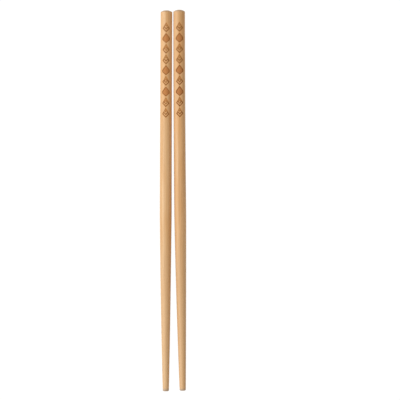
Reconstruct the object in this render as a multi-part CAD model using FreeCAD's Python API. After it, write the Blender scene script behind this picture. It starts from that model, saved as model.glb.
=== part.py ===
import FreeCAD, Part
import math
import os
from collections import namedtuple

# A pair of bamboo chopsticks, lying side by side as they come to rest on a table.
# Each stick is one turned piece of bamboo. A round grip widens slightly from the head to the belly, and
# a gently bulging taper of three cones runs from there to the tip. Both ends are domed, and two narrow
# bevels round their edge. A column of lozenges is burnt into the upper side of the grip, a little below
# the surface.
# Units are millimetres and degrees. +Z is up, the heads point to +Y and the tips to -Y. The origin is
# on the table, under the middle of the pair.

# Each stick. Distances along it, called s, are counted from the crown of the head.
length = 240.0
head_radius = 3.65
belly_radius = 3.76
belly_from_head = 129.0
tip_radius = 1.97
taper_bulge = 0.19
taper_steps = 3
head_dome_radius = 6.4
head_edge_round = 0.45
tip_dome_radius = 7.5
tip_edge_round = 0.7

# The burnt lozenges. The smaller ones share the upper corner, on the head's side, of the one they lie in.
# The solid ones are a little larger, with their two side corners cut off.
burn_depth = 0.15
lozenge_width = 4.4
lozenge_height = 6.1
lozenge_widest_at = 3.75
lozenge_gap = 0.62
solid_width = 4.7
solid_height = 6.2
solid_widest_from = 3.0
solid_widest_to = 4.15
first_lozenge_from_head = 7.95
line_width = 0.42
middle_lozenge_height = 4.4
small_lozenge_height = 2.6
window_height = 1.75
window_from_corner = 2.2
column = (
    "nested",
    "solid",
    "windowed",
    "nested",
    "solid",
    "windowed",
    "solid",
    "windowed",
    "capped",
)

# How the sticks lie. lean turns a stick about its head, with the tip going to +X, roll turns it about
# its own axis, and advance moves it towards +Y.
head_gap = 0.55
Stick = namedtuple("Stick", "node side lean roll advance")
left = Stick("left_chopstick", side=-1, lean=-0.1, roll=-0.5, advance=0.0)
right = Stick("right_chopstick", side=1, lean=0.54, roll=4.0, advance=0.35)

X_AXIS = FreeCAD.Vector(1, 0, 0)
Y_AXIS = FreeCAD.Vector(0, 1, 0)
Z_AXIS = FreeCAD.Vector(0, 0, 1)
ORIGIN = FreeCAD.Vector(0, 0, 0)


def at(s, radius=0.0):
    """The point at s along an unplaced stick, the given radius below its axis."""
    return FreeCAD.Vector(0, -s, -radius)


def end_points(radius, dome_radius, edge_round):
    """A domed end from its crown to its side, as five pairs of distance from the crown and radius.

    The first three are on the dome, and the last three are on the edge's rounding, for its bevels. The
    rounding touches the side and the dome from inside, so its centre is edge_round nearer to the axis
    than the side, and edge_round nearer to the dome's centre than the dome.
    """
    rise = math.sqrt((dome_radius - edge_round) ** 2 - (radius - edge_round) ** 2)
    depth = dome_radius - rise
    dome_angle = math.atan2(radius - edge_round, rise)
    half = dome_angle / 2
    halfway = (dome_angle + math.pi / 2) / 2
    return [
        (0, 0),
        (dome_radius * (1 - math.cos(half)), dome_radius * math.sin(half)),
        (dome_radius * (1 - math.cos(dome_angle)), dome_radius * math.sin(dome_angle)),
        (depth - edge_round * math.cos(halfway), radius - edge_round + edge_round * math.sin(halfway)),
        (depth, radius),
    ]


def taper_points(start, end):
    """Points from the belly to the tip's edge, on a line that bulges by a parabola."""
    points = []
    for step in range(taper_steps + 1):
        share = step / taper_steps
        bulge = 4 * taper_bulge * share * (1 - share)
        points.append(start + (end - start) * share + at(0, bulge))
    return points


def plain_stick():
    """One stick before burning: half its outline, turned once round the axis."""
    head = [at(s, r) for s, r in end_points(head_radius, head_dome_radius, head_edge_round)]
    tip = [at(length - s, r) for s, r in end_points(tip_radius, tip_dome_radius, tip_edge_round)]
    taper = taper_points(at(belly_from_head, belly_radius), tip[4])
    corners = head[2:] + taper + [tip[3], tip[2]]
    lines = [Part.LineSegment(*pair) for pair in zip(corners, corners[1:])]
    domes = [Part.Arc(*head[:3]), Part.Arc(tip[2], tip[1], tip[0])]
    axis = Part.LineSegment(tip[0], head[0])
    curves = [domes[0]] + lines + [domes[1], axis]
    outline = Part.Wire([curve.toShape() for curve in curves])
    return Part.Face(outline).revolve(ORIGIN, Y_AXIS, 360)


def mirrored_face(half):
    """A flat shape from the corners of its right half, as pairs of how far across and down they are."""
    other_half = [(-across, down) for across, down in reversed(half[1:-1])]
    corners = [FreeCAD.Vector(across, -down, 0) for across, down in half + other_half + half[:1]]
    return Part.Face(Part.makePolygon(corners))


def lozenge(height, inset=0.0):
    """A flat lozenge in the column's proportions, its upper corner at the origin and its lower one on -Y.

    inset moves all four sides inwards. They all touch one circle, so what they leave is the same shape,
    drawn in towards that circle's centre.
    """
    scale = height / lozenge_height
    half_width = scale * lozenge_width / 2
    widest = scale * lozenge_widest_at
    upper_side = math.hypot(half_width, widest)
    lower_side = math.hypot(half_width, height - widest)
    circle_radius = half_width * height / (upper_side + lower_side)
    circle_from_corner = circle_radius * upper_side / half_width
    drawn_in = 1 - inset / circle_radius
    half = []
    for across, down in ((0, 0), (half_width, widest), (0, height)):
        half.append((across * drawn_in, circle_from_corner + (down - circle_from_corner) * drawn_in))
    return mirrored_face(half)


def lozenge_line(height):
    """The outline of a lozenge, as wide as a burnt line."""
    return lozenge(height).cut(lozenge(height, inset=line_width))


def windowed_lozenge():
    """The middle lozenge, all burnt but for a small window."""
    window = lozenge(window_height)
    window.translate(at(window_from_corner))
    return lozenge(middle_lozenge_height).cut(window)


def motif(kind):
    """All that is burnt in one lozenge of the column, as a flat shape."""
    if kind == "solid":
        side = solid_width / 2
        return mirrored_face([(0, 0), (side, solid_widest_from), (side, solid_widest_to), (0, solid_height)])
    inner = {
        "nested": [lozenge_line(middle_lozenge_height), lozenge_line(small_lozenge_height)],
        "windowed": [windowed_lozenge()],
        "capped": [lozenge_line(middle_lozenge_height), lozenge(small_lozenge_height)],
    }
    return lozenge_line(lozenge_height).multiFuse(inner[kind]).removeSplitter()


def burnt_pockets():
    """The column of lozenges, carried straight up through the skin of the grip, less all below the burn."""
    prisms = []
    for row, kind in enumerate(column):
        prism = motif(kind).extrude(Z_AXIS * 2 * belly_radius)
        prism.translate(at(first_lozenge_from_head + row * (lozenge_height + lozenge_gap)))
        prisms.append(prism)
    unburnt = Part.makeCone(
        head_radius - burn_depth, belly_radius - burn_depth, belly_from_head, ORIGIN, -Y_AXIS
    )
    return Part.makeCompound(prisms).cut(unburnt)


def lay(stick, shape):
    """Sets a stick down beside the other one.

    It is rolled, tipped so that the underside of its grip is level, and leaned.
    """
    slope = math.degrees(math.atan((belly_radius - head_radius) / belly_from_head))
    roll = FreeCAD.Rotation(Y_AXIS, stick.roll)
    level = FreeCAD.Rotation(X_AXIS, -slope)
    lean = FreeCAD.Rotation(Z_AXIS, stick.lean)
    place = FreeCAD.Vector(stick.side * (head_radius + head_gap / 2), stick.advance, head_radius)
    shape.Placement = FreeCAD.Placement(place, lean.multiply(level).multiply(roll))
    return shape


def centre_over_origin(shapes):
    """Moves all the shapes together.

    The middle of their box comes over the origin, and its underside to Z=0.
    """
    box = Part.makeCompound(shapes).optimalBoundingBox(False)
    for shape in shapes:
        shape.translate(FreeCAD.Vector(-box.Center.x, -box.Center.y, -box.ZMin))


def main():
    burnt_stick = plain_stick().cut(burnt_pockets()).Solids[0]
    pair = {stick.node: lay(stick, burnt_stick.copy()) for stick in (left, right)}
    centre_over_origin(list(pair.values()))
    os.makedirs("parts", exist_ok=True)
    for node, shape in pair.items():
        shape.exportStep(f"parts/{node}.step")
        print(node, "volume", round(shape.Volume, 1), "mm3, faces", len(shape.Faces))
        print(node, "valid", shape.isValid())


main()
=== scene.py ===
# %% [markdown]
# # A pair of bamboo chopsticks
#
# Each chopstick is turned from one strip of bamboo: a round grip that widens a little down to its
# belly, a long taper to the tip, and two rounded ends. A hot stamp has pressed a column of lozenges
# into the upper side of the grip. The imported CAD model fixes where the sticks lie and how large they
# are. Here each stick gets a finer skin, with soft-edged burnt lines and the slight bow of real
# bamboo, and a finish with fibres, end grain and scorch marks. Some of that colour is painted shade:
# the browned ends and the dark bundles on the right stick's right side. Blender wants metres, so all
# lengths are in metres.

# %% Load the CAD model
import math

import bpy
import numpy as np
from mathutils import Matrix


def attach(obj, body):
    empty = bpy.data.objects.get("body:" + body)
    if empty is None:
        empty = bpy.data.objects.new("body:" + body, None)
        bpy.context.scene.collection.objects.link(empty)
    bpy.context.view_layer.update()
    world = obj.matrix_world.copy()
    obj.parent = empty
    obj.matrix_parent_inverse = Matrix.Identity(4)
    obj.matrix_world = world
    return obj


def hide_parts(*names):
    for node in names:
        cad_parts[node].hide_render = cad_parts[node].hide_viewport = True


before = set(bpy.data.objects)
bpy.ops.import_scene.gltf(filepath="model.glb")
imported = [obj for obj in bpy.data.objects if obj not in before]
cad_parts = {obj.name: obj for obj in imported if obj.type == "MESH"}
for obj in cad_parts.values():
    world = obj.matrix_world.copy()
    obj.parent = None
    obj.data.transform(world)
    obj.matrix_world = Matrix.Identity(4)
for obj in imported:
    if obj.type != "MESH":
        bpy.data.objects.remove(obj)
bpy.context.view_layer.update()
MM = 0.001


def in_mm(lengths):
    """Lengths in metres as rounded millimetres, for printing."""
    return (np.array(lengths) / MM).round(2).tolist()


# %% [markdown]
# ## Where each stick lies
#
# A stick's place could be written out as numbers, but the CAD node already holds it. The middle of a
# thin slice at either end of the node is a point of the stick's axis, so two slices give the whole
# axis. It stays right if the CAD model is changed.

# %% Read a stick's axis from its CAD node
end_slice = 2 * MM


def slice_middle(points, end_y):
    """A point of the axis: the middle of all vertices within end_slice of one end, set at that end."""
    near = points[np.abs(points[:, 1] - end_y) < end_slice]
    middle = (near.min(axis=0) + near.max(axis=0)) / 2
    middle[1] = end_y
    return middle


def axis_of(node):
    """The crowns of a node's head and tip."""
    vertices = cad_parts[node].data.vertices
    points = np.empty(3 * len(vertices), np.float32)
    vertices.foreach_get("co", points)
    points = points.reshape(-1, 3).astype(float)
    return slice_middle(points, points[:, 1].max()), slice_middle(points, points[:, 1].min())


for node in sorted(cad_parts):
    head, tip = axis_of(node)
    lean = math.degrees(math.atan2(tip[0] - head[0], head[1] - tip[1]))
    print(node, "length, mm:", in_mm(np.linalg.norm(tip - head)))
    print(node, "lean, degrees:", round(lean, 2))

# %% [markdown]
# ## The sizes of a stick
#
# The sizes are those of the CAD model, under the same names. Distances along a stick, called s, are
# counted from the crown of the head. A mesh as fine as the burnt lines need would be heavy all over,
# so its rows stand close together only along the lozenges.

# %% Sizes of a stick
length = 240.0 * MM
head_radius = 3.65 * MM
belly_radius = 3.76 * MM
belly_from_head = 129.0 * MM
tip_radius = 1.97 * MM
taper_bulge = 0.19 * MM
head_dome_radius = 6.4 * MM
head_edge_round = 0.45 * MM
tip_dome_radius = 7.5 * MM
tip_edge_round = 0.7 * MM

fine_step = 0.12 * MM
plain_step = 1.5 * MM
fine_from_head = 7.2 * MM
fine_to_head = 69.2 * MM
print("rows are fine for", in_mm(fine_to_head - fine_from_head), "mm of", in_mm(length))

# %% [markdown]
# ## The outline of a stick
#
# The outline is the radius as a function of s. It is a dome, a rounded edge, a straight cone, a taper
# with a slight bulge, and again a rounded edge and a dome. A lathe tool would cut the same line, and
# turning it round the axis gives the whole surface.

# %% Work out the outline


def domed_end(radius, dome_radius, edge_round, dome_rows=12, round_rows=7):
    """Distances from the crown, and radii, from just beyond the crown to the side.

    The dome is an arc about a centre on the axis. The edge's rounding is a smaller arc inside it, which
    touches the dome and the side, so their centres are dome_radius - edge_round apart.
    """
    rise = math.sqrt((dome_radius - edge_round) ** 2 - (radius - edge_round) ** 2)
    dome_angle = math.atan2(radius - edge_round, rise)
    a = np.linspace(0, dome_angle, dome_rows + 1)[1:]
    b = np.linspace(dome_angle, math.pi / 2, round_rows + 1)[1:]
    distance = np.concatenate(
        [dome_radius * (1 - np.cos(a)), dome_radius - rise - edge_round * np.cos(b)]
    )
    return distance, np.concatenate([dome_radius * np.sin(a), radius + edge_round * (np.sin(b) - 1)])


def steps_between(first, last, step):
    """Places from first to last, both left out, about a step apart."""
    return np.linspace(first, last, max(2, round((last - first) / step) + 1))[1:-1]


def outline():
    """s and radius of each row.

    The grip is a cone, r = head + share * (belly - head). The taper is the same from the belly to the
    tip, with a parabola, 4 * bulge * share * (1 - share), added.
    """
    head_s, head_r = domed_end(head_radius, head_dome_radius, head_edge_round)
    tip_s, tip_r = domed_end(tip_radius, tip_dome_radius, tip_edge_round)
    taper_end = length - tip_s[-1]
    side_s = np.concatenate(
        [
            steps_between(head_s[-1], fine_from_head, plain_step),
            np.arange(fine_from_head, fine_to_head, fine_step),
            steps_between(fine_to_head, belly_from_head, plain_step),
            [belly_from_head],
            steps_between(belly_from_head, taper_end, plain_step),
        ]
    )
    grip = (side_s - head_s[-1]) / (belly_from_head - head_s[-1])
    taper = np.clip((side_s - belly_from_head) / (taper_end - belly_from_head), 0, 1)
    side_r = head_radius + np.minimum(grip, 1) * (belly_radius - head_radius)
    side_r += taper * (tip_radius - belly_radius) + 4 * taper_bulge * taper * (1 - taper)
    return (
        np.concatenate([head_s, side_s, length - tip_s[::-1]]),
        np.concatenate([head_r, side_r, tip_r[::-1]]),
    )


row_s, row_radius = outline()
print("rows along a stick:", len(row_s), "widest radius, mm:", in_mm(row_radius.max()))

# %% [markdown]
# ## The sizes of the burnt lozenges
#
# The stamp's pattern is nine lozenges with smaller ones nested in their upper corner. The solid ones
# are a little larger, with their side corners cut off. All corners of the stamp are slightly worn, and
# its edges press a narrow slope into the wood instead of an upright wall.

# %% Sizes of the lozenges
lozenge_width = 4.4 * MM
lozenge_height = 6.1 * MM
lozenge_widest_at = 3.75 * MM
lozenge_gap = 0.62 * MM
solid_width = 4.7 * MM
solid_height = 6.2 * MM
solid_widest_from = 3.0 * MM
solid_widest_to = 4.15 * MM
first_lozenge_from_head = 7.95 * MM
line_width = 0.42 * MM
middle_lozenge_height = 4.4 * MM
small_lozenge_height = 2.6 * MM
window_height = 1.75 * MM
window_from_corner = 2.2 * MM
burn_depth = 0.15 * MM
wall_width = 0.16 * MM
corner_wear = 0.04 * MM
solid_wear = 0.12 * MM
column = ("nested", "solid", "windowed", "nested", "solid", "windowed", "solid", "windowed", "capped")

pitch = lozenge_height + lozenge_gap
column_end = first_lozenge_from_head + len(column) * pitch - lozenge_gap
print("lozenges:", len(column), "the last ends", in_mm(column_end), "mm from the head")

# %% [markdown]
# ## How far inside a lozenge
#
# Each lozenge could be cut into the mesh as an outline, but a distance is simpler and softer: for every
# point of the grip it says how far inside the nearest burnt line the point lies. The same number
# presses the pocket into the surface and later tells the material how dark the scorch is.

# %% Distance inside one lozenge


def inside_shape(across, down, half, wear):
    """How far a point lies inside a shape, given by the corners of its right half from top to bottom.

    It is the least of the distances d to its sides, each the dot product of the side's inward normal
    with the way from one of its ends. A soft least, -w * log(sum(exp(-d / w))), wears the corners.
    """
    distances = []
    for (x0, y0), (x1, y1) in zip(half, half[1:]):
        side = math.hypot(x1 - x0, y1 - y0)
        for sideways in (across, -across):
            distances.append(((x1 - x0) * (down - y0) - (y1 - y0) * (sideways - x0)) / side)
    return -wear * np.logaddexp.reduce([-distance / wear for distance in distances])


def inside_lozenge(across, down, height):
    """The same for a lozenge in the column's proportions, whose upper corner is at (0, 0)."""
    scale = height / lozenge_height
    half = [(0, 0), (scale * lozenge_width / 2, scale * lozenge_widest_at), (0, height)]
    return inside_shape(across, down, half, corner_wear)


def inside_line(across, down, height):
    """The same for a lozenge's burnt outline: inside the lozenge, but less than a line's width in."""
    inside = inside_lozenge(across, down, height)
    return np.minimum(inside, line_width - inside)


widest_middle = inside_lozenge(0.0, lozenge_widest_at, lozenge_height)
print("the middle of a large lozenge lies", in_mm(widest_middle), "mm inside")

# %% [markdown]
# ## From one lozenge to the column
#
# A lozenge of the column is several burnt shapes together, and the column is nine of them. Where shapes
# are joined, a point is as far inside as in the one that holds it deepest, so the greatest of their
# distances joins them. No outlines have to be cut against each other.

# %% Distance inside the column


def inside_motif(kind, across, down):
    """How far inside all that is burnt in one lozenge: the greatest of its parts' distances."""
    if kind == "solid":
        side = solid_width / 2
        half = [(0, 0), (side, solid_widest_from), (side, solid_widest_to), (0, solid_height)]
        return inside_shape(across, down, half, solid_wear)
    parts = [inside_line(across, down, lozenge_height)]
    if kind == "windowed":
        window = inside_lozenge(across, down - window_from_corner, window_height)
        parts.append(np.minimum(inside_lozenge(across, down, middle_lozenge_height), -window))
    else:
        parts.append(inside_line(across, down, middle_lozenge_height))
        small = inside_line if kind == "nested" else inside_lozenge
        parts.append(small(across, down, small_lozenge_height))
    return np.maximum.reduce(parts)


def inside_column(across, s):
    """The same for the whole column, for points at s, and so far across the stick's upper side."""
    motifs = []
    for n, kind in enumerate(column):
        down = s - first_lozenge_from_head - n * pitch
        motifs.append(inside_motif(kind, across, down))
    return np.maximum.reduce(motifs)


along_middle = inside_column(0.0, row_s)
print("rows burnt along the column's middle:", int((along_middle > 0).sum()))

# %% [markdown]
# ## How hard the stamp was pressed
#
# The solid lozenges are burnt alike all over. The others are paler at their upper corner, as if the
# stamp had been pressed less there. A number for each row of the mesh can carry that to the material.

# %% Work out the pressure
light_press = 0.64
light_until = 1.6 * MM
full_from = 3.6 * MM


def smooth_step(value, low, high):
    """0 below low, 1 above high, and 3t^2 - 2t^3 between."""
    t = np.clip((value - low) / (high - low), 0, 1)
    return t * t * (3 - 2 * t)


def stamp_pressure(s):
    """1 on a solid lozenge, else rising smoothly from light_press near the upper corner to 1."""
    down = s - first_lozenge_from_head
    row = np.clip(down // pitch, 0, len(column) - 1).astype(int)
    solid = np.array([kind == "solid" for kind in column])[row]
    pressed = light_press + (1 - light_press) * smooth_step(down - row * pitch, light_until, full_from)
    return np.where(solid, 1, pressed)


print("rows pressed fully:", int((stamp_pressure(row_s) == 1).sum()), "of", len(row_s))

# %% [markdown]
# ## Columns round a stick
#
# The skin is a grid, with the outline's rows along the stick and columns round it. The columns too
# stand close together only where the lozenges are, on top. The seam of the grid is underneath.

# %% Columns round the stick
fine_half_angle = math.radians(42)
fine_column = 0.1 * MM
plain_column = 0.38 * MM

fine_columns = 2 * round(fine_half_angle * head_radius / fine_column)
plain_columns = 2 * round((math.pi - fine_half_angle) * head_radius / plain_column)
half_plain = plain_columns // 2
angles = np.concatenate(
    [
        np.linspace(-math.pi, -fine_half_angle, half_plain + 1)[:-1],
        np.linspace(-fine_half_angle, fine_half_angle, fine_columns + 1)[:-1],
        np.linspace(fine_half_angle, math.pi, half_plain + 1)[:-1],
    ]
)
print("columns round a stick:", len(angles))

# %% [markdown]
# ## The skin of a stick
#
# The skin is a function of two parameters: s along the axis and an angle round it, counted from the
# top. A point is the axis point at s, plus the radius in the direction of the angle, less the burnt
# pocket's depth. Bamboo dries with a slight bow, so the axis point also moves sideways by a parabola.
# All rows and columns are worked out at once as arrays.

# %% Work out the skin


def stick_skin(node, bow, roll):
    """Points of the skin as rows by columns, the two crowns, and each point's distance inside the burn.

    A point is axis + (radius - pocket) * (sin(angle) * side + cos(angle) * up). The axis moves to +X by
    bow * ((2 * s / length - 1)^2 - 1/2), which is half the bow at the ends.
    """
    head, tip = axis_of(node)
    along = (tip - head) / np.linalg.norm(tip - head)
    side = np.cross([0, 0, 1], along)
    side /= np.linalg.norm(side)
    up = np.cross(along, side)
    turn = np.array([[math.cos(roll), math.sin(roll)], [-math.sin(roll), math.cos(roll)]])
    up, side = turn @ np.array([up, side])

    s = row_s[:, None]
    radius = row_radius[:, None]
    inside = inside_column(radius * np.sin(angles), s + 0 * angles)
    pocket = burn_depth * smooth_step(inside, -wall_width / 2, wall_width / 2)
    reach = (radius - pocket)[:, :, None]
    outwards = np.sin(angles)[:, None] * side + np.cos(angles)[:, None] * up
    bend = bow * ((2 * s / length - 1) ** 2 - 0.5)
    axis = head + s * along + bend * np.array([1.0, 0.0, 0.0])
    points = axis[:, None, :] + reach * outwards
    ends = [head + [bow / 2, 0, 0], tip + [bow / 2, 0, 0]]
    return points, ends, inside


print("points of one skin:", len(row_s) * len(angles) + 2)

# %% [markdown]
# ## From points to faces
#
# Each cell of the grid is a quad, and each end closes in a fan of triangles round its crown. The corner
# numbers of all faces are worked out as arrays too. Shifting the grid of numbers by one column gives
# every point's neighbour, also across the seam.

# %% Number the faces' corners


def grid_faces(rows, columns):
    """Corner numbers of the quads and of the two fans, turned so that every face looks outwards."""
    near = np.arange(rows * columns).reshape(rows, columns)
    beside = np.roll(near, -1, axis=1)
    quads = np.stack([near[:-1], near[1:], beside[1:], beside[:-1]], axis=-1).reshape(-1, 4)
    head_crown = np.full(columns, rows * columns)
    head_fan = np.stack([head_crown, near[0], beside[0]], axis=-1)
    tip_fan = np.stack([near[-1], head_crown + 1, beside[-1]], axis=-1)
    return quads, head_fan, tip_fan


print("faces of one skin:", sum(len(part) for part in grid_faces(len(row_s), len(angles))))

# %% [markdown]
# ## The UV map
#
# Unrolled in one piece, a stick's skin is ten times as long as it is wide. The map unrolls it into
# three strips laid above each other, so that a square picture holds it with little waste. The strip
# with the lozenges is the shortest one, and so the sharpest.

# %% Unroll the skin
strip_ends = np.array([72.0, 156.0]) * MM
strip_margin = 0.02
end_margin = strip_margin / 3


def strip_uv(rows, columns):
    """UV of every face corner: u from the length along the outline, v from the column and strip."""
    crown_to_row = np.hypot(np.diff(row_s, prepend=0), np.diff(row_radius, prepend=0)).cumsum()
    first, last = crown_to_row[0], crown_to_row[-1]
    whole = last + math.hypot(length - row_s[-1], row_radius[-1])
    edge_rows = np.searchsorted(crown_to_row, strip_ends)
    edges = np.concatenate([[0], crown_to_row[edge_rows], [whole]])
    strips = len(edges) - 1

    def place(run, column, strip):
        """The UV so far along the outline, at a column, in one of the strips."""
        u = (run - edges[strip]) / (edges[strip + 1] - edges[strip])
        v = (strip + strip_margin + (1 - 2 * strip_margin) * column / columns) / strips
        return np.stack(np.broadcast_arrays(end_margin + (1 - 2 * end_margin) * u, v), axis=-1)

    column = np.arange(columns)
    row_strip = np.searchsorted(edge_rows, np.arange(rows - 1), side="right")[:, None]
    near, far = crown_to_row[:-1, None], crown_to_row[1:, None]
    quad = [(near, 0), (far, 0), (far, 1), (near, 1)]
    quads = np.stack([place(run, column + step, row_strip) for run, step in quad], axis=2)
    fans = [
        np.stack([place(run, column + step, strip) for run, step in corners], axis=1)
        for strip, corners in (
            (0, [(0.0, 0.5), (first, 0), (first, 1)]),
            (strips - 1, [(last, 0), (whole, 0.5), (last, 1)]),
        )
    ]
    return np.concatenate([part.reshape(-1, 2) for part in (quads, *fans)])


print("the strips end", in_mm(strip_ends), "mm from the head, and at the tip")

# %% [markdown]
# ## The two sticks
#
# foreach_set hands whole arrays to the mesh in one go, which is much faster than adding faces one by
# one. The distance inside the burn and the pressure go with it as attributes, so the material needs no
# picture. The sticks differ in their bow, and in how they have rolled.

# %% Build the sticks


def build_stick(name, node, bow, roll):
    """A stick's mesh object, with its UV map and two attributes.

    They are inside_burn, the distance inside the burn in mm, and stamp_pressure.
    """
    points, ends, inside = stick_skin(node, bow, roll)
    rows, columns = inside.shape
    faces = grid_faces(rows, columns)
    corner_counts = np.concatenate([np.full(len(part), part.shape[1]) for part in faces])
    mesh = bpy.data.meshes.new(name)
    mesh.vertices.add(rows * columns + 2)
    mesh.vertices.foreach_set("co", np.concatenate([points.reshape(-1, 3), ends]).ravel())
    mesh.loops.add(corner_counts.sum())
    mesh.loops.foreach_set("vertex_index", np.concatenate([part.ravel() for part in faces]))
    mesh.polygons.add(len(corner_counts))
    mesh.polygons.foreach_set("loop_start", np.cumsum(corner_counts) - corner_counts)
    mesh.update(calc_edges=True)
    mesh.uv_layers.new(name="OFBake").data.foreach_set("uv", strip_uv(rows, columns).ravel())
    far_outside = -lozenge_height
    for attribute, values, at_crowns in (
        ("inside_burn", inside.ravel() / MM, far_outside / MM),
        ("stamp_pressure", np.repeat(stamp_pressure(row_s), columns), 0),
    ):
        data = mesh.attributes.new(attribute, "FLOAT", "POINT").data
        data.foreach_set("value", np.concatenate([values, [at_crowns, at_crowns]]))
    mesh.validate()
    mesh.shade_smooth()
    stick = bpy.data.objects.new(name, mesh)
    bpy.context.scene.collection.objects.link(stick)
    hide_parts(node)
    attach(stick, "root")
    print(name, "triangles:", sum(len(part) * (part.shape[1] - 2) for part in faces))
    return stick


left_stick = build_stick("left_stick", "left_chopstick", bow=0.26 * MM, roll=math.radians(-0.5))
right_stick = build_stick("right_stick", "right_chopstick", bow=0.53 * MM, roll=math.radians(4))

# %% [markdown]
# ## Helpers for node trees
#
# Materials are built from small node groups. A few helpers keep the code short: one adds a node and
# fills or links its inputs, some stand for a common node each, and one starts a group with named
# sockets. Colours are given as on a screen, but Blender mixes light, so they are converted first.

# %% Node helpers


def srgb(red, green, blue):
    """A colour given as 0 to 255 on a screen, as the linear values that Blender works with."""
    part = np.array([red, green, blue]) / 255
    linear = np.where(part <= 0.04045, part / 12.92, ((part + 0.055) / 1.055) ** 2.4)
    return (*linear.tolist(), 1.0)


def add_node(tree, kind, inputs=None, **settings):
    """Adds a node with these settings. Each input is a value, or a socket that is linked to it."""
    node = tree.nodes.new(kind)
    for name, value in settings.items():
        setattr(node, name, value)
    for key, value in (inputs or {}).items():
        if isinstance(value, bpy.types.NodeSocket):
            tree.links.new(value, node.inputs[key])
        else:
            node.inputs[key].default_value = value
    return node


def math_node(tree, operation, *values):
    """The result of a calculation on one to three values."""
    return add_node(tree, "ShaderNodeMath", dict(enumerate(values)), operation=operation).outputs[0]


def ramp_node(tree, value, low, high, at_low=0.0, at_high=1.0):
    """A value turned smoothly from at_low, where it is low, to at_high, where it is high."""
    inputs = {"Value": value, "From Min": low, "From Max": high, "To Min": at_low, "To Max": at_high}
    return add_node(tree, "ShaderNodeMapRange", inputs, interpolation_type="SMOOTHSTEP").outputs[0]


def mix_colours(tree, share, first, second):
    """First colour where share is 0, second where it is 1. 6, 7 and 2 are the node's colour sockets."""
    inputs = {0: share, 6: first, 7: second}
    return add_node(tree, "ShaderNodeMix", inputs, data_type="RGBA").outputs[2]


def along_stick(tree, vector):
    """The part of a vector that lies along the sticks."""
    return add_node(tree, "ShaderNodeSeparateXYZ", {0: vector}).outputs["Y"]


def start_group(name, inputs, outputs):
    """A new node group with these sockets. Returns its tree, its input sockets and its output node."""
    tree = bpy.data.node_groups.new(name, "ShaderNodeTree")
    for socket, kind in inputs.items():
        tree.interface.new_socket(socket, in_out="INPUT", socket_type=kind)
    for socket, kind in outputs.items():
        tree.interface.new_socket(socket, in_out="OUTPUT", socket_type=kind)
    entry = tree.nodes.new("NodeGroupInput")
    return tree, entry.outputs, tree.nodes.new("NodeGroupOutput")


print("128 of 255 on a screen is", round(srgb(128, 128, 128)[0], 3), "of full light")

# %% [markdown]
# ## Bamboo fibres
#
# Bamboo has no year rings. Thin dark bundles run along the whole stick in a paler ground, closer
# together towards what was the outside of the cane. The ground itself drifts between straw and tan in
# long soft bands, with warmer patches here and there. An image could show that, but a pattern in space
# that is stretched along the stick does more: the same bundles show as streaks on the side and as dots
# on the domed ends.

# %% The fibre group
FLOAT, COLOUR, VECTOR = "NodeSocketFloat", "NodeSocketColor", "NodeSocketVector"
cane_half = 4 * MM
sparse = 0.12
crowded = 0.34
bundle_edge = 0.12

fibre_tree, fibre_in, fibre_out = start_group(
    "bamboo_fibres",
    {"Vector": VECTOR},
    {"Bands": FLOAT, "Patches": FLOAT, "Fibres": FLOAT, "Bundles": FLOAT},
)


def stretched(across_mm, along_mm):
    """The group's vector in units of the given size across the stick and along it."""
    scale = [1 / (size * MM) for size in (across_mm, along_mm, across_mm)]
    inputs = {0: fibre_in["Vector"], 1: scale}
    return add_node(fibre_tree, "ShaderNodeVectorMath", inputs, operation="MULTIPLY").outputs[0]


def fibre_noise(across_mm, along_mm, detail):
    """Smooth noise from 0 to 1 whose spots are drawn out along the stick."""
    inputs = {"Vector": stretched(across_mm, along_mm), "Scale": 1.0, "Detail": detail}
    return add_node(fibre_tree, "ShaderNodeTexNoise", inputs).outputs["Fac"]


bundle_cells = add_node(
    fibre_tree, "ShaderNodeTexVoronoi", {"Vector": stretched(0.8, 160), "Scale": 1.0}
).outputs["Distance"]
depth_in_cane = add_node(fibre_tree, "ShaderNodeSeparateXYZ", {0: fibre_in["Vector"]}).outputs["X"]
crowding = ramp_node(fibre_tree, depth_in_cane, -cane_half, cane_half, sparse, crowded)
inside_bundle = math_node(fibre_tree, "SUBTRACT", crowding, bundle_cells)
for socket, value in (
    ("Bands", ramp_node(fibre_tree, fibre_noise(2.4, 90, detail=2), 0.3, 0.7)),
    ("Patches", ramp_node(fibre_tree, fibre_noise(4, 32, detail=1), 0.45, 0.75)),
    ("Fibres", ramp_node(fibre_tree, fibre_noise(0.22, 14, detail=3), 0.25, 0.75)),
    ("Bundles", ramp_node(fibre_tree, inside_bundle, 0.0, bundle_edge)),
):
    fibre_tree.links.new(value, fibre_out.inputs[socket])
print("node group:", fibre_tree.name, len(fibre_tree.nodes), "nodes")

# %% [markdown]
# ## Scorch marks
#
# A hot stamp burns darkest along the edge of what it presses. Thin lines turn dark brown. A broad flat
# area is dark at its rim and only reddish brown inside, and the heat leaves a warm halo outside. All
# three follow from the distance inside the burn, which the attribute gives in millimetres. The
# pressure makes the scorch stronger or weaker, and noise makes it uneven.

# %% The scorch group
burnt_line = srgb(99, 35, 0)
burnt_field = srgb(190, 128, 78)
halo_colour = srgb(217, 154, 79)
burnt_edge = 0.06
field_from = 0.14
field_to = 0.46
halo_reach = 0.4
halo_share = 0.75
patches_per_metre = 700.0
weakest_patch = 0.85

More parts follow.
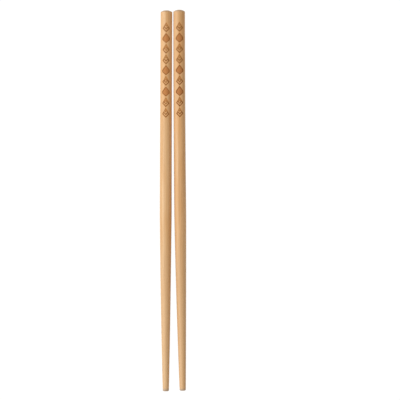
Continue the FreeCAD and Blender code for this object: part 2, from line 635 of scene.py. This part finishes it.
scorch_tree, scorch_in, scorch_out = start_group(
    "scorch_marks",
    {"Colour": COLOUR, "Inside": FLOAT, "Pressure": FLOAT, "Vector": VECTOR, "Strength": FLOAT},
    {"Colour": COLOUR, "Burnt": FLOAT},
)
patches = add_node(
    scorch_tree,
    "ShaderNodeTexNoise",
    {"Vector": scorch_in["Vector"], "Scale": patches_per_metre, "Detail": 2.0},
).outputs["Fac"]
uneven = ramp_node(scorch_tree, patches, 0.3, 0.6, weakest_patch, 1.0)
pressed = math_node(scorch_tree, "MULTIPLY", scorch_in["Strength"], scorch_in["Pressure"])
pressure = math_node(scorch_tree, "MULTIPLY", pressed, uneven)
burnt = ramp_node(scorch_tree, scorch_in["Inside"], -burnt_edge, burnt_edge)
field = ramp_node(scorch_tree, scorch_in["Inside"], field_from, field_to)
halo = ramp_node(scorch_tree, scorch_in["Inside"], -halo_reach, 0.0, 0.0, halo_share)
with_halo = mix_colours(scorch_tree, halo, scorch_in["Colour"], halo_colour)
scorched = mix_colours(scorch_tree, field, burnt_line, burnt_field)
share = math_node(scorch_tree, "MULTIPLY", burnt, pressure)
marked = mix_colours(scorch_tree, share, with_halo, scorched)
scorch_tree.links.new(marked, scorch_out.inputs["Colour"])
scorch_tree.links.new(share, scorch_out.inputs["Burnt"])
print("node group:", scorch_tree.name, len(scorch_tree.nodes), "nodes")

# %% [markdown]
# ## The colour of the wood
#
# The colour is a ground from pale to tan with thin layers over it, each a tint and its share. The
# patches, fibres and bundles come first. The taper is turned down to the paler wood inside the strip.
# The last two millimetres of each end are greyer, which the distance from the middle tells. The ends
# are cut across the fibres and turn away from most of the light, so their faces get a brown that is
# partly end grain and partly painted shade, which the direction of the surface tells.

# %% Layer the colours
warm_patch = srgb(220, 164, 100)
fibre_tan = srgb(205, 158, 104)
bundle_brown = srgb(176, 126, 76)
inner_wood = srgb(221, 192, 156)
end_grey = srgb(188, 166, 144)
end_grain_shade_brown = srgb(174, 136, 92)
inner_from = -15 * MM
inner_to = -42 * MM
grey_from = 117.8 * MM
grey_to = 119.3 * MM
end_from = 0.3
end_to = 0.95


def wood_colour(tree, place, fibres, pale, tan):
    """Bamboo from pale to tan: each layer is mixed over the last by its amount times its share."""
    along = along_stick(tree, place)
    facing = add_node(tree, "ShaderNodeNewGeometry").outputs["True Normal"]
    endwise = math_node(tree, "ABSOLUTE", along_stick(tree, facing))
    colour = mix_colours(tree, fibres["Bands"], pale, tan)
    for amount, share, tint in (
        (fibres["Patches"], 0.5, warm_patch),
        (fibres["Fibres"], 0.3, fibre_tan),
        (fibres["Bundles"], 0.35, bundle_brown),
        (ramp_node(tree, along, inner_from, inner_to), 0.3, inner_wood),
        (ramp_node(tree, along, grey_from, grey_to), 0.4, end_grey),
        (ramp_node(tree, along, -grey_from, -grey_to), 0.9, end_grey),
        # painted shade mixed with end grain: faces that point along the stick, away from most of the
        # light, are browned
        (ramp_node(tree, endwise, end_from, end_to), 0.45, end_grain_shade_brown),
    ):
        colour = mix_colours(tree, math_node(tree, "MULTIPLY", amount, share), colour, tint)
    return colour


print("paler wood from", in_mm([inner_from, inner_to]), "mm along Y")

# %% [markdown]
# ## The bamboo material
#
# Bamboo that is sanded and not varnished has a soft sheen, and the burnt places are duller. The fibres
# stand up very slightly, which a bump shows well enough at this size. Both sticks have the same finish
# with their own values: where in the fibre pattern they are cut, how pale they are and how hard the
# stamp was pressed. The left stick comes from just under the cane's skin, with its bundles crowded on
# top. The right one has its dark bundles crowded on its right side, away from the key lamp, which is
# partly grain and partly painted shade.

# %% Build a material for each stick
wood_shine = 0.5
burnt_shine = 0.15
wood_rough = 0.46
burnt_rough = 0.66
fibre_rough = 0.1
bundle_rise = 0.6
fibre_rise = 0.03 * MM
bump_strength = 0.5


def bamboo(name, pale, tan, cut_from, turned, scorch):
    """Bamboo from pale to tan, cut at cut_from in the fibre pattern and turned about its axis."""
    material = bpy.data.materials.new(name)
    material.use_nodes = True
    tree = material.node_tree
    shader = tree.nodes["Principled BSDF"]
    place = add_node(tree, "ShaderNodeTexCoord").outputs["Object"]
    move = {"Vector": place, "Location": cut_from, "Rotation": (0, turned, 0)}
    cut = add_node(tree, "ShaderNodeMapping", move).outputs[0]
    fibres = add_node(tree, "ShaderNodeGroup", {"Vector": cut}, node_tree=fibre_tree).outputs
    inside = add_node(tree, "ShaderNodeAttribute", attribute_name="inside_burn").outputs["Fac"]
    pressed = add_node(tree, "ShaderNodeAttribute", attribute_name="stamp_pressure").outputs["Fac"]
    marks_in = {
        "Colour": wood_colour(tree, place, fibres, pale, tan),
        "Inside": inside,
        "Pressure": pressed,
        "Vector": place,
        "Strength": scorch,
    }
    marks = add_node(tree, "ShaderNodeGroup", marks_in, node_tree=scorch_tree).outputs
    tree.links.new(marks["Colour"], shader.inputs["Base Color"])

    shine = math_node(tree, "MULTIPLY_ADD", marks["Burnt"], burnt_shine - wood_shine, wood_shine)
    tree.links.new(shine, shader.inputs["Specular IOR Level"])
    dulled = math_node(tree, "MULTIPLY_ADD", marks["Burnt"], burnt_rough - wood_rough, wood_rough)
    rough = math_node(tree, "MULTIPLY_ADD", fibres["Fibres"], fibre_rough, dulled)
    tree.links.new(rough, shader.inputs["Roughness"])
    height = math_node(tree, "MULTIPLY_ADD", fibres["Bundles"], bundle_rise, fibres["Fibres"])
    relief = {"Height": height, "Strength": bump_strength, "Distance": fibre_rise}
    bump = add_node(tree, "ShaderNodeBump", relief)
    tree.links.new(bump.outputs[0], shader.inputs["Normal"])
    return material


left_bamboo = bamboo(
    "bamboo_left",
    pale=srgb(231, 194, 149),
    tan=srgb(221, 177, 127),
    cut_from=(-0.0029, 1.61, 0.081),
    turned=math.radians(80),
    scorch=0.86,
)
# partly painted shade: this cut crowds the dark bundles onto the stick's right side, away from the key
# lamp
right_bamboo = bamboo(
    "bamboo_right",
    pale=srgb(228, 187, 140),
    tan=srgb(215, 170, 118),
    cut_from=(-0.0056, 1.628, 0.009),
    turned=math.radians(35),
    scorch=1.0,
)
left_stick.data.materials.append(left_bamboo)
right_stick.data.materials.append(right_bamboo)
print("materials:", left_bamboo.name, right_bamboo.name)

# %% [markdown]
# ## The floor
#
# The sticks lie on a white table. Enough light to make its paint pure white would wash the bamboo out,
# so the camera sees most of the white as a plain glow. Only a share of it is lit paint, which keeps
# the sticks' shadow.

# %% Build the floor
floor_size = 6.0
floor_white = (0.9, 0.9, 0.9, 1.0)
floor_glow = 1.07
shadow_share = 0.07


def seen_directly(tree):
    """1 for rays from the camera, also by way of a mirror or through glass, otherwise 0."""
    path = add_node(tree, "ShaderNodeLightPath").outputs
    either = math_node(tree, "MAXIMUM", path["Is Camera Ray"], path["Is Glossy Ray"])
    return math_node(tree, "MAXIMUM", either, path["Is Transmission Ray"])


half_floor = floor_size / 2
floor_corners = [(x * half_floor, y * half_floor, 0) for x, y in ((-1, -1), (1, -1), (1, 1), (-1, 1))]
floor_mesh = bpy.data.meshes.new("floor")
floor_mesh.from_pydata(floor_corners, [], [(0, 1, 2, 3)])
floor = bpy.data.objects.new("floor", floor_mesh)
bpy.context.scene.collection.objects.link(floor)

floor_paint = bpy.data.materials.new("white_floor")
floor_paint.use_nodes = True
tree = floor_paint.node_tree
paint = tree.nodes["Principled BSDF"]
for socket, value in (("Base Color", floor_white), ("Roughness", 1.0), ("Specular IOR Level", 0.0)):
    paint.inputs[socket].default_value = value
glow = add_node(tree, "ShaderNodeEmission", {"Strength": floor_glow})
share_of_glow = math_node(tree, "MULTIPLY", seen_directly(tree), 1 - shadow_share)
mixed = add_node(
    tree, "ShaderNodeMixShader", {0: share_of_glow, 1: paint.outputs[0], 2: glow.outputs[0]}
)
tree.links.new(mixed.outputs[0], tree.nodes["Material Output"].inputs["Surface"])
floor_mesh.materials.append(floor_paint)
print("floor:", floor_size, "m, share of it that shows shadow:", shadow_share)

# %% [markdown]
# ## The room
#
# The light that a room throws back on the sticks comes from the world. The camera should see a pure
# white room, but the sticks need a dimmer and warmer light, so the world is one thing to the camera
# and another to the rest of the scene.

# %% Build the world
warm_white = (1.0, 0.87, 0.68, 1.0)
room_light = 0.44

world = bpy.data.worlds.new("white_room")
bpy.context.scene.world = world
world.use_nodes = True
tree = world.node_tree
lighting = tree.nodes["Background"]
lighting.inputs["Color"].default_value = warm_white
lighting.inputs["Strength"].default_value = room_light
shown = add_node(tree, "ShaderNodeBackground", {"Color": (1, 1, 1, 1), "Strength": 1.0})
mixed = add_node(
    tree, "ShaderNodeMixShader", {0: seen_directly(tree), 1: lighting.outputs[0], 2: shown.outputs[0]}
)
tree.links.new(mixed.outputs[0], tree.nodes["World Output"].inputs["Surface"])
print("world:", world.name, "lights with a strength of", room_light)

# %% [markdown]
# ## Lamps
#
# The photograph is lit by one large soft lamp from the left. The brightest line on each stick lies
# about a sixth of its width in from the left side, where the surface faces the lamp. It stands a little
# towards the heads, so their rims are lighter than those of the tips. The right side lives on a weak
# second lamp and on light from the white floor.

# %% Place the lamps


def soft_lamp(name, towards, distance, size, power):
    """A square white area lamp that shines on the middle of the pair from the direction given."""
    towards = np.array(towards, float) / np.linalg.norm(towards)
    data = bpy.data.lights.new(name, "AREA")
    data.size = size
    data.energy = power
    lamp = bpy.data.objects.new(name, data)
    bpy.context.scene.collection.objects.link(lamp)
    lamp.location = towards * distance
    z_axis = lamp.location.normalized()
    lamp.rotation_euler = z_axis.to_track_quat("Z", "Y").to_euler()
    print(name, "power, W:", power)


soft_lamp("key_lamp", towards=(-1.15, 0.25, 1.0), distance=1.3, size=0.7, power=11.8)
soft_lamp("fill_lamp", towards=(1.2, -0.2, 1.0), distance=1.5, size=1.2, power=1.1)

# %% [markdown]
# ## Camera
#
# The photograph looks straight down on the sticks with hardly any perspective, so the lens is long.
# One picture element covers 0.63 mm of the sticks. The pair stands left of the picture's middle, as it
# does in the photograph, so the camera is moved sideways over the table and not turned.

# %% Place the camera
picture_width = 400
mm_per_pixel = 0.63
pair_middle = (173.3, 200.5)
seen_height = head_radius

camera_data = bpy.data.cameras.new("camera")
camera_data.lens = 180
camera_data.sensor_width = 36
camera = bpy.data.objects.new("camera", camera_data)
bpy.context.scene.collection.objects.link(camera)
view_width = picture_width * mm_per_pixel * MM
camera.location = (
    (picture_width / 2 - pair_middle[0]) * mm_per_pixel * MM,
    (pair_middle[1] - picture_width / 2) * mm_per_pixel * MM,
    view_width * camera_data.lens / camera_data.sensor_width + seen_height,
)
bpy.context.scene.camera = camera
bpy.context.scene.view_settings.view_transform = "Standard"
print("camera height, m:", round(camera.location.z, 3))
